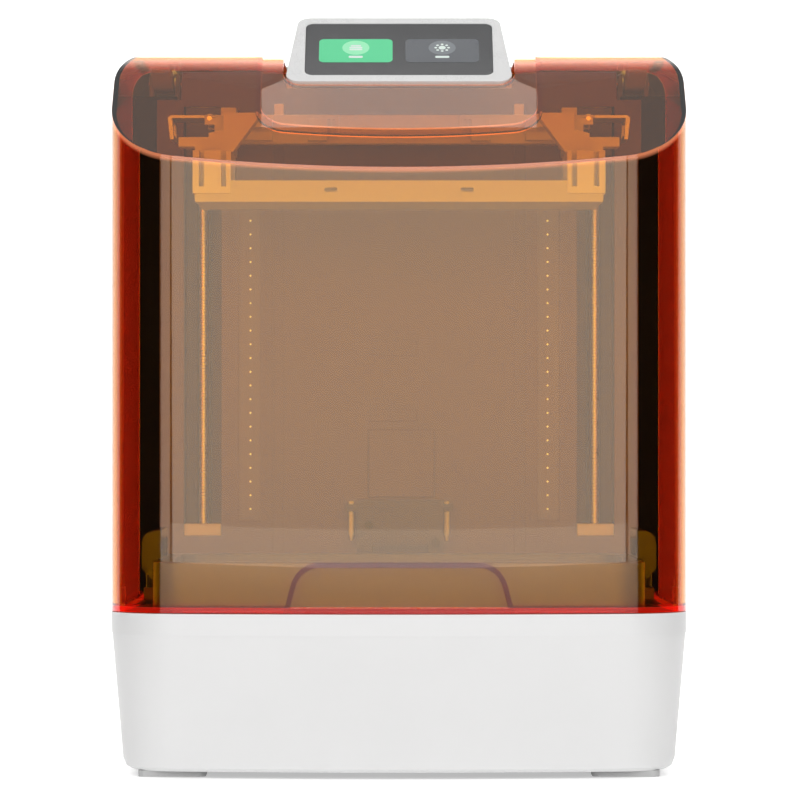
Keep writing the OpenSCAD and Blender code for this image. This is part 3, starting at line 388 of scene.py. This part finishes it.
dress(black_moulding, "fan_frame", "fan_rotor", "power_inlet", "switch_frame")
dress(hood_plastic, "light_hood")
dress(knob_plastic, "left_vat_knob", "right_vat_knob")
dress(rocker_red, "power_switch")
dress(foot_rubber, "feet")
dress(seal_rubber, "cover_seals", "column_bezels")
dress(probe_ceramic, "level_probes")

# %% [markdown]
# ### Circuit boards
# A board is green solder mask over copper. A brick pattern of thin lines stands for the traces
# under the mask, which show as slightly lighter tracks.


# %% Circuit boards
def board_finish(name, mask_colour, track_colour, spacing):
    """Solder mask with a faint grid of tracks under it."""
    material = finish(name, mask_colour, 0.32, grain=0.0006, bump=0.000008, tone=0.08, spread=0.06)
    tree = material.node_tree
    shader = next(n for n in tree.nodes if n.type == "BSDF_PRINCIPLED")
    under = shader.inputs["Base Color"].links[0].from_socket
    place = wire(tree, "ShaderNodeTexCoord", (-1200, 600))
    tracks = wire(tree, "ShaderNodeTexBrick", (-900, 600), Vector=(place, "Object"), Scale=1 / spacing)
    tracks.inputs["Mortar Size"].default_value = 0.035
    tracks.inputs["Color1"].default_value = (0, 0, 0, 1)
    tracks.inputs["Color2"].default_value = (0, 0, 0, 1)
    tracks.inputs["Mortar"].default_value = (1, 1, 1, 1)
    painted = wire(tree, "ShaderNodeMix", (-300, 600), set_data_type="RGBA", in0=(tracks, "Color"))
    tree.links.new(under, painted.inputs[6])
    painted.inputs[7].default_value = tuple(track_colour) + (1.0,)
    tree.links.new(painted.outputs[2], shader.inputs["Base Color"])
    return material


board_green = board_finish("board_green", (0.02, 0.16, 0.07), (0.05, 0.30, 0.13), 0.004)
board_white = board_finish("board_white", (0.78, 0.80, 0.78), (0.62, 0.66, 0.63), 0.008)
dress(board_green, "mainboard", "display_board")
dress(board_white, "uv_led_board")

# %% [markdown]
# ### Clear parts
# The cover is acrylic dyed to stop ultraviolet light. Real dye works through the thickness: the
# longer a ray's way through the wall, the redder it leaves. So the main colour is a Volume
# Absorption inside clear glass, not a surface colour. Lamps can't find their way through
# refracting glass by chance, so for shadow rays only, each surface acts as a plain tinted sheet
# that takes half a wall's colour.


# %% Clear finishes
def clear_finish(name, ior, rough, wall_tint, depth_colour=None, depth_density=0.0, smear=0.01):
    """Refracting glass with a tint for lamps and, where asked, colour that grows with depth."""
    material, tree, output = blank_material(name)
    place = wire(tree, "ShaderNodeTexCoord", (-1000, 0))
    smudges = wire(tree, "ShaderNodeTexNoise", (-800, 0), Vector=(place, "Object"), Scale=22.0, Detail=4.0)
    roughness = wire(tree, "ShaderNodeMapRange", (-500, 0), Value=(smudges, "Fac"))
    roughness.inputs["To Min"].default_value = rough
    roughness.inputs["To Max"].default_value = rough + smear
    glass = wire(tree, "ShaderNodeBsdfPrincipled", (0, 0), Roughness=(roughness, "Result"))
    glass.inputs["Base Color"].default_value = (1, 1, 1, 1)
    glass.inputs["IOR"].default_value = ior
    glass.inputs["Transmission Weight"].default_value = 1.0
    open_sheet = wire(tree, "ShaderNodeBsdfTransparent", (0, -500), Color=tuple(wall_tint) + (1.0,))
    path = wire(tree, "ShaderNodeLightPath", (0, 400))
    mixed = wire(tree, "ShaderNodeMixShader", (500, 0), in0=(path, "Is Shadow Ray"), in1=(glass, "BSDF"),
                 in2=(open_sheet, "BSDF"))
    tree.links.new(mixed.outputs["Shader"], output.inputs["Surface"])
    if depth_colour:
        dye = wire(tree, "ShaderNodeVolumeAbsorption", (500, -300), Color=tuple(depth_colour) + (1.0,),
                   Density=depth_density)
        tree.links.new(dye.outputs["Volume"], output.inputs["Volume"])
    return material


cover_acrylic = clear_finish("cover_acrylic", 1.49, 0.0, (0.93, 0.77, 0.28), (0.952, 0.825, 0.0), 1000.0,
                             0.012)
lens_acrylic = clear_finish("lens_acrylic", 1.49, 0.02, (0.97, 0.97, 0.97))
film_clear = clear_finish("film_clear", 1.34, 0.12, (0.95, 0.95, 0.94))
dress(cover_acrylic, "lid_shell")
dress(lens_acrylic, "collimating_lens")
dress(film_clear, "vat_film")

# %% [markdown]
# ### Painted light on the cover's edges
# A dyed sheet shows its deepest colour where you look along it, and it glows where it bends or
# ends, because light caught inside the wall leaves there. Here both are painted into the glass. A
# Layer Weight, which is how far glass turns away from the eye, paints the first: red side walls
# as painted shade, with a straw-coloured outer corner as a painted highlight. The rim gets a painted
# red and a painted glow, and the crease a painted glow; both are masks on the object itself: the
# height of the thick rim, and the line where the front wall meets the sloping panel, found from the
# mesh's own sloping faces.


# %% Painted light on the cover's edges
def between(tree, at, source, low, high):
    """A mask that rises from 0 to 1 as the source goes from low to high."""
    node = wire(tree, "ShaderNodeMapRange", at, Value=source)
    node.inputs["From Min"].default_value = low
    node.inputs["From Max"].default_value = high
    return (node, "Result")


def times(tree, at, first, second):
    """The product of two masks."""
    return (wire(tree, "ShaderNodeMath", at, set_operation="MULTIPLY", in0=first, in1=second), "Value")


def tinted(tree, at, mask, base, colour):
    """The base colour, changed to another one where the mask is 1."""
    node = wire(tree, "ShaderNodeMix", at, set_data_type="RGBA", in0=mask)
    if isinstance(base[0], bpy.types.Node):
        tree.links.new(base[0].outputs[base[1]], node.inputs[6])
    else:
        node.inputs[6].default_value = base
    node.inputs[7].default_value = colour
    return (node, 2)


def painted_edge_light(material, piece, rim_height, crease_height):
    """Painted light: red shade at grazing angles, a straw corner highlight, a red glowing rim and a glowing
    crease.
    """
    tree = material.node_tree
    glass = next(n for n in tree.nodes if n.type == "BSDF_PRINCIPLED")
    faces = [f for f in piece.data.polygons if -0.65 < f.normal.y < -0.5 and 0.75 < f.normal.z < 0.85]
    slope = max(faces, key=lambda f: f.area).normal.copy()
    top = max(slope.dot(f.center) for f in faces)
    rim_z = min(v.co.z for v in piece.data.vertices) + rim_height
    place = wire(tree, "ShaderNodeTexCoord", (-1800, 900))
    spot = wire(tree, "ShaderNodeSeparateXYZ", (-1500, 1000), Vector=(place, "Object"))
    tilt = wire(tree, "ShaderNodeSeparateXYZ", (-1500, 400), Vector=(place, "Normal"))
    along = wire(tree, "ShaderNodeVectorMath", (-1500, 700), set_operation="DOT_PRODUCT",
                 in0=(place, "Object"), in1=tuple(slope))
    facing = wire(tree, "ShaderNodeLayerWeight", (-1500, 1300), Blend=0.5)

    grazing = between(tree, (-1300, 1300), (facing, "Facing"), 0.3, 0.7)
    edge_on = between(tree, (-1300, 1600), (facing, "Facing"), 0.5, 0.72)
    forward = between(tree, (-1300, 1450), (tilt, "Y"), -0.08, -0.2)
    corner_highlight = times(tree, (-1000, 1500), edge_on, forward)
    rim = between(tree, (-1300, 1000), (spot, "Z"), rim_z + 0.2 * MM, rim_z - 0.2 * MM)
    near = between(tree, (-1300, 700), (along, "Value"), top - crease_height, top - 1.0 * MM)
    not_under = between(tree, (-1300, 400), (tilt, "Z"), -0.25, -0.1)
    not_panel = between(tree, (-1300, 150), (tilt, "Z"), 0.79, 0.72)
    crease = times(tree, (-800, 600), near, times(tree, (-1000, 400), not_under, not_panel))

    # Painted shade: deep red where the wall turns away from the eye, standing in for light's long path
    # through the wall. Painted highlight: a straw colour on the outer front corners.
    colour = tinted(tree, (-700, 1200), grazing, (1, 1, 1, 1), (0.85, 0.004, 0.002, 1))
    colour = tinted(tree, (-600, 1200), corner_highlight, colour, (1.0, 0.93, 0.66, 1))
    # Painted glow at the rim: a red colour and light of its own along the thick bottom edge, though it is no
    # lamp.
    colour = tinted(tree, (-500, 1200), rim, colour, (1.0, 0.10, 0.06, 1))
    glow = tinted(tree, (-500, 900), rim, (1.0, 0.32, 0.15, 1), (1.0, 0.03, 0.01, 1))
    painted_rim_glow = times(tree, (-600, 800), rim, 0.22)
    # Painted glow along the crease where the front wall meets the sloping panel, with the rim's painted glow
    # added to it.
    strength = wire(tree, "ShaderNodeMath", (-400, 600), set_operation="MULTIPLY_ADD",
                    in0=crease, in1=0.6, in2=painted_rim_glow)
    tree.links.new(colour[0].outputs[2], glass.inputs["Base Color"])
    tree.links.new(glow[0].outputs[2], glass.inputs["Emission Color"])
    tree.links.new(strength.outputs["Value"], glass.inputs["Emission Strength"])
    print("crease", round(top * 1000, 1), "mm out along", [round(v, 3) for v in slope],
          "rim top", round(rim_z * 1000, 1), "mm")


painted_edge_light(cover_acrylic, nodes["lid_shell"], rim_height=3.2 * MM, crease_height=3.2 * MM)

# %% [markdown]
# ### Dark glass
# The display and the masking screen are black behind a polished sheet. The sheet is almost
# perfectly smooth, so only faint smears of cleaning keep it from looking like a hole.

# %% Dark glass
screen_black = finish("screen_black", (0.012, 0.012, 0.014), 0.10, grain=0.004, bump=0.0, tone=0.2,
                      spread=0.05, drift=0.05)
display_dark = finish("display_dark", (0.020, 0.021, 0.024), 0.16, grain=0.004, bump=0.0, tone=0.03,
                      spread=0.05, drift=0.05)
dress(screen_black, "mask_screen")
dress(display_dark, "display_glass")

# %% [markdown]
# ### Light strips
# Each strip is a thin board, coated like the panel around it, that carries small warm lamps. The
# second recipe here is a finish with light of its own, for those lamps and for the display.

# %% Light strips
strip_board = finish("strip_board", (0.235, 0.175, 0.15), 0.5, grain=0.0008, bump=0.00001, tone=0.04,
                     spread=0.08)
dress(strip_board, "light_strips")


def lit_finish(name, colour, rough, glow, grain=0.0004, bump=0.000004, tone=0.03):
    """A finish that also gives light of its own colour."""
    material = finish(name, colour, rough, grain=grain, bump=bump, tone=tone, spread=0.04)
    shader = next(n for n in material.node_tree.nodes if n.type == "BSDF_PRINCIPLED")
    shader.inputs["Emission Color"].default_value = tuple(colour) + (1.0,)
    shader.inputs["Emission Strength"].default_value = glow
    return material


# %% [markdown]
# ## Rounded edges
# Real edges are never sharp: a coated sheet edge has a radius of half a millimetre, and that
# radius is what draws the thin bright line around a shape. The CAD meshes arrive with split
# edges, so they are welded first. Then faces that meet at a small angle are shaded as one curve,
# and the real edges get a small bevel. All of it is modifiers, so the CAD mesh stays as it is.


# %% Helper: curves shaded as curves
def curve_shading(degrees):
    """A node group that shades smoothly across edges flatter than the angle."""
    group = bpy.data.node_groups.new("curve_shading_%d" % degrees, "GeometryNodeTree")
    group.interface.new_socket("Geometry", in_out="INPUT", socket_type="NodeSocketGeometry")
    group.interface.new_socket("Geometry", in_out="OUTPUT", socket_type="NodeSocketGeometry")
    start = group.nodes.new("NodeGroupInput")
    end = group.nodes.new("NodeGroupOutput")
    faces = group.nodes.new("GeometryNodeSetShadeSmooth")
    edges = group.nodes.new("GeometryNodeSetShadeSmooth")
    edges.domain = "EDGE"
    angle = group.nodes.new("GeometryNodeInputMeshEdgeAngle")
    sharp = group.nodes.new("ShaderNodeMath")
    sharp.operation = "GREATER_THAN"
    sharp.inputs[1].default_value = math.radians(degrees)
    for number, item in enumerate((start, faces, edges, end, angle, sharp)):
        item.location = (200 * number - 400, 0)
    faces.inputs["Shade Smooth"].default_value = True
    edges.inputs["Shade Smooth"].default_value = False
    group.links.new(start.outputs[0], faces.inputs["Geometry"])
    group.links.new(faces.outputs[0], edges.inputs["Geometry"])
    group.links.new(angle.outputs["Unsigned Angle"], sharp.inputs[0])
    group.links.new(sharp.outputs[0], edges.inputs["Selection"])
    group.links.new(edges.outputs[0], end.inputs[0])
    return group


shade_curves = curve_shading(28)
print("node group:", shade_curves.name)


def soften(width, *names, segments=2, angle=35):
    """Welds, shades curves and rounds the real edges of CAD nodes by width metres."""
    for name in names:
        piece = nodes[name]
        weld = piece.modifiers.new("weld", "WELD")
        weld.merge_threshold = 0.00001
        curves = piece.modifiers.new("curves", "NODES")
        curves.node_group = shade_curves
        if width:
            bevel = piece.modifiers.new("round_edges", "BEVEL")
            bevel.width = width
            bevel.segments = segments
            bevel.limit_method = "ANGLE"
            bevel.angle_limit = math.radians(angle)
            bevel.harden_normals = True
    print("edges rounded by", round(width / MM, 2), "mm on", len(names), "nodes")


# %% Rounded edges
soften(0.0012, "lid_shell", segments=3, angle=24)
soften(0.0008, "base_shell", "tower_shell", "display_housing", "vat_body", "vat_handles", "feet")
soften(0.0005, "display_neck", "build_plate", "end_brackets", "arms", "crossbeam", "foot_blocks",
       "head_blocks",
       "feed_bracket", "service_cover", "hinge_arms", "power_inlet", "switch_frame", "power_switch")
soften(0.0003, "left_release_lever", "right_release_lever", "rear_cover", "fan_frame", "deck_plate",
       "mask_screen", "display_glass", "motors", "column_bezels", "carriages", "tower_panel",
       "carriage_brackets")
soften(0.0, "fan_rotor", "left_coupling", "right_coupling", "left_vat_knob", "right_vat_knob", "nuts",
       "rails",
       "level_probes", "hinge_pins", "lever_pins", "case_screws", "left_lead_screw", "right_lead_screw",
       "hinge_brackets", "vat_film", "vat_film_ring", "light_hood")

# %% [markdown]
# ## Threads
# The CAD gives each lead screw as a plain rod of the thread's outer diameter. The real screw has
# two thread starts, 2 mm apart, so one turn lifts the platform 4 mm. Each row of vertices below
# climbs by one lead per turn, so the rows themselves are the helix and the rod closes on itself.
# The thread is shallow: from a few metres away a polished screw is one smooth bright line.


# %% Threaded rods
def threaded_rod(name, radius, depth, pitch, starts, low, high, around=28):
    """A rod with a trapezoid thread; its axis is the local Z axis, from low to high."""
    rings = ((0.0, radius - depth), (0.24, radius), (0.5, radius), (0.74, radius - depth))
    lead = pitch * starts
    rows = int((high - low + 2 * lead) / pitch) * len(rings)
    mesh = bmesh.new()
    grid = []
    for row in range(rows):
        fraction, ring_radius = rings[row % len(rings)]
        base = low - lead + (row // len(rings) + fraction) * pitch
        line = []
        for step in range(around):
            turn = 2 * math.pi * step / around
            height = min(max(base + lead * step / around, low), high)
            line.append(mesh.verts.new((ring_radius * math.cos(turn), ring_radius * math.sin(turn), height)))
        grid.append(line)
    climb = starts * len(rings)
    for row in range(rows - 1):
        for step in range(around):
            last = step == around - 1
            if last and row + climb + 1 >= rows:
                continue
            lower = (grid[row][step], grid[row + climb][0] if last else grid[row][step + 1])
            upper = (grid[row + 1][step], grid[row + climb + 1][0] if last else grid[row + 1][step + 1])
            corners = (lower[0], lower[1], upper[1], upper[0])
            if max(v.co.z for v in corners) - min(v.co.z for v in corners) > 1e-6:
                mesh.faces.new(corners)
    for height, facing in ((low, -1), (high, 1)):
        cap = [mesh.verts.new(((radius - depth) * math.cos(a), (radius - depth) * math.sin(a), height))
               for a in (2 * math.pi * i / around for i in range(around))]
        mesh.faces.new(cap if facing > 0 else cap[::-1])
    bmesh.ops.delete(mesh, geom=[v for v in mesh.verts if not v.link_faces], context="VERTS")
    data = bpy.data.meshes.new(name)
    mesh.to_mesh(data)
    mesh.free()
    return new_object(name, data)


for side in ("left", "right"):
    low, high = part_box(side + "_lead_screw")
    centre = (low + high) / 2
    radius = (high.x - low.x) / 2
    rod = threaded_rod(side + "_thread", radius, 0.22 * MM, 2 * MM, 2, low.z, high.z)
    rod.location = (centre.x, centre.y, 0)
    rod.data.materials.append(screw_steel)
    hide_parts(side + "_lead_screw")
    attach(rod, side + "_screw")
    print(rod.name, "faces:", len(rod.data.polygons))

# %% [markdown]
# ## Small lights
# Every light point is a low dome that gives warm light. The domes are found from the strip's own
# box: two columns, evenly spaced, starting one margin in from the strip's end.


# %% Light points
def lathe(mesh, centre, axis, across, profile, around=16):
    """Turns a profile of (radius, height) pairs around an axis and adds it to a bmesh."""
    side = axis.cross(across)
    rings = []
    for radius, height in profile:
        level = centre + axis * height
        if radius == 0:
            rings.append([mesh.verts.new(level)])
            continue
        turns = [2 * math.pi * i / around for i in range(around)]
        rings.append([mesh.verts.new(level + across * radius * math.cos(a) + side * radius * math.sin(a))
                      for a in turns])
    for low_ring, high_ring in zip(rings, rings[1:]):
        for i in range(around):
            j = (i + 1) % around
            if len(high_ring) == 1:
                mesh.faces.new((low_ring[i], low_ring[j], high_ring[0]))
            elif len(low_ring) == 1:
                mesh.faces.new((low_ring[0], high_ring[j], high_ring[i]))
            else:
                mesh.faces.new((low_ring[i], low_ring[j], high_ring[j], high_ring[i]))


def mesh_object(name, mesh, material, smooth=True):
    """Closes a bmesh into an object with one material."""
    data = bpy.data.meshes.new(name)
    mesh.normal_update()
    mesh.to_mesh(data)
    mesh.free()
    data.polygons.foreach_set("use_smooth", [smooth] * len(data.polygons))
    data.materials.append(material)
    return new_object(name, data)


LED_COUNT = 22
LED_MARGIN = 7 * MM
strip_low, strip_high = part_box("light_strips")
led_x = strip_high.x - 7.4 * MM
led_first = strip_low.z + LED_MARGIN
led_step = (strip_high.z - strip_low.z - 2 * LED_MARGIN) / (LED_COUNT - 1)
dome = [(radius * MM, height * MM)
        for radius, height in ((0.6, 0), (0.58, 0.2), (0.46, 0.4), (0.25, 0.54), (0, 0.58))]
domes = bmesh.new()
for side in (-1, 1):
    for number in range(LED_COUNT):
        place = Vector((side * led_x, strip_low.y - 0.02 * MM, led_first + number * led_step))
        lathe(domes, place, Vector((0, -1, 0)), Vector((1, 0, 0)), dome)
led_warm = lit_finish("led_warm", (1.0, 0.86, 0.62), 0.3, 0.8)
led_domes = mesh_object("led_domes", domes, led_warm)
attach(led_domes, "chassis")
print("light points:", 2 * LED_COUNT, "step", round(led_step * 1000, 2), "mm")

# %% [markdown]
# ## The picture on the display
# The screen shows two large buttons, green for printing and grey for settings. They are thin
# lit shapes a tenth of a millimetre above the glass, placed on the glass with its own slope:
# one direction runs across, one runs up the slope, and one points out of it.

# %% Helper: shapes on the glass
glass_low, glass_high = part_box("display_glass")
display_slope = math.radians(35)
across = Vector((1, 0, 0))
upwards = Vector((0, math.cos(display_slope), math.sin(display_slope)))
outwards = Vector((0, -math.sin(display_slope), math.cos(display_slope)))
half_glass = 1.1 * MM
glass_top = (glass_low + glass_high) / 2 + outwards * half_glass
print("display slope", round(math.degrees(display_slope)), "degrees")


def on_glass(x, up, lift):
    """A place on the display in millimetres from its middle, lifted out of the glass."""
    return glass_top + across * x * MM + upwards * up * MM + outwards * lift * MM


def rounded_bar(x_mid, up_mid, width, height, radius, steps=8):
    """The corners of a rounded rectangle, counter-clockwise."""
    half_w, half_h = width / 2 - radius, height / 2 - radius
    points = []
    for cx, cy, start in ((half_w, half_h, 0), (-half_w, half_h, 90), (-half_w, -half_h, 180),
                          (half_w, -half_h, 270)):
        for step in range(steps + 1):
            turn = math.radians(start + 90 * step / steps)
            points.append((x_mid + cx + radius * math.cos(turn), up_mid + cy + radius * math.sin(turn)))
    return points


def circle(x_mid, up_mid, radius, steps=40):
    """Points of a circle, counter-clockwise."""
    turns = [2 * math.pi * i / steps for i in range(steps)]
    return [(x_mid + radius * math.cos(a), up_mid + radius * math.sin(a)) for a in turns]


def lit_shapes(name, colour, *shapes):
    """One lit piece of thin plates on the glass; each shape is an outline and its two heights."""
    mesh = bmesh.new()
    for outline, low, high in shapes:
        bottom = [mesh.verts.new(on_glass(x, up, low)) for x, up in outline]
        top = [mesh.verts.new(on_glass(x, up, high)) for x, up in outline]
        mesh.faces.new(top)
        for i in range(len(outline)):
            j = (i + 1) % len(outline)
            mesh.faces.new((bottom[i], bottom[j], top[j], top[i]))
    piece = mesh_object(name, mesh, lit_finish(name, colour, 0.3, 0.1), smooth=False)
    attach(piece, "chassis")


# %% [markdown]
# Each button is three layers: a rounded tile, a round badge on it, and the badge's mark with a
# short bar below. The printing mark is three stacked bars, like layers of a print. The settings
# mark is a hub with a ring of eight dots, like a cog.

# %% Two buttons
TILE_W, TILE_H, TILE_UP = 45.6, 27.8, -1.7
BADGE_UP = TILE_UP + 3.4
TILE_TOP, BADGE_TOP, MARK_TOP = 0.10, 0.16, 0.22
layer_bars = [(6.4, 2.2), (8.0, 0.0), (8.0, -2.2)]
dots = [(4.0 * math.cos(math.pi * step / 4), 4.0 * math.sin(math.pi * step / 4)) for step in range(8)]
for name, x_mid, tile_colour, badge_colour in (
        ("print", -26.8, (0.045, 0.54, 0.23), (0.24, 0.70, 0.40)),
        ("settings", 26.8, (0.062, 0.069, 0.080), (0.14, 0.155, 0.17))):
    if name == "print":
        outlines = [rounded_bar(x_mid, BADGE_UP + up, width, 1.6, 0.6) for width, up in layer_bars]
    else:
        outlines = [circle(x_mid, BADGE_UP, 2.2)]
        outlines += [circle(x_mid + x, BADGE_UP + up, 0.9, 12) for x, up in dots]
    mark = [(outline, BADGE_TOP, MARK_TOP) for outline in outlines]
    caption_bar = (rounded_bar(x_mid, TILE_UP - 7.6, 8.8, 2.4, 1.0), TILE_TOP, MARK_TOP)
    tile = (rounded_bar(x_mid, TILE_UP, TILE_W, TILE_H, 3.4), 0.02, TILE_TOP)
    lit_shapes(name + "_tile", tile_colour, tile)
    lit_shapes(name + "_disc", badge_colour, (circle(x_mid, BADGE_UP, 8.4), TILE_TOP, BADGE_TOP))
    lit_shapes(name + "_mark", (0.62, 0.70, 0.66), *mark, caption_bar)
    print(name, "button with", len(outlines), "shapes in its mark")
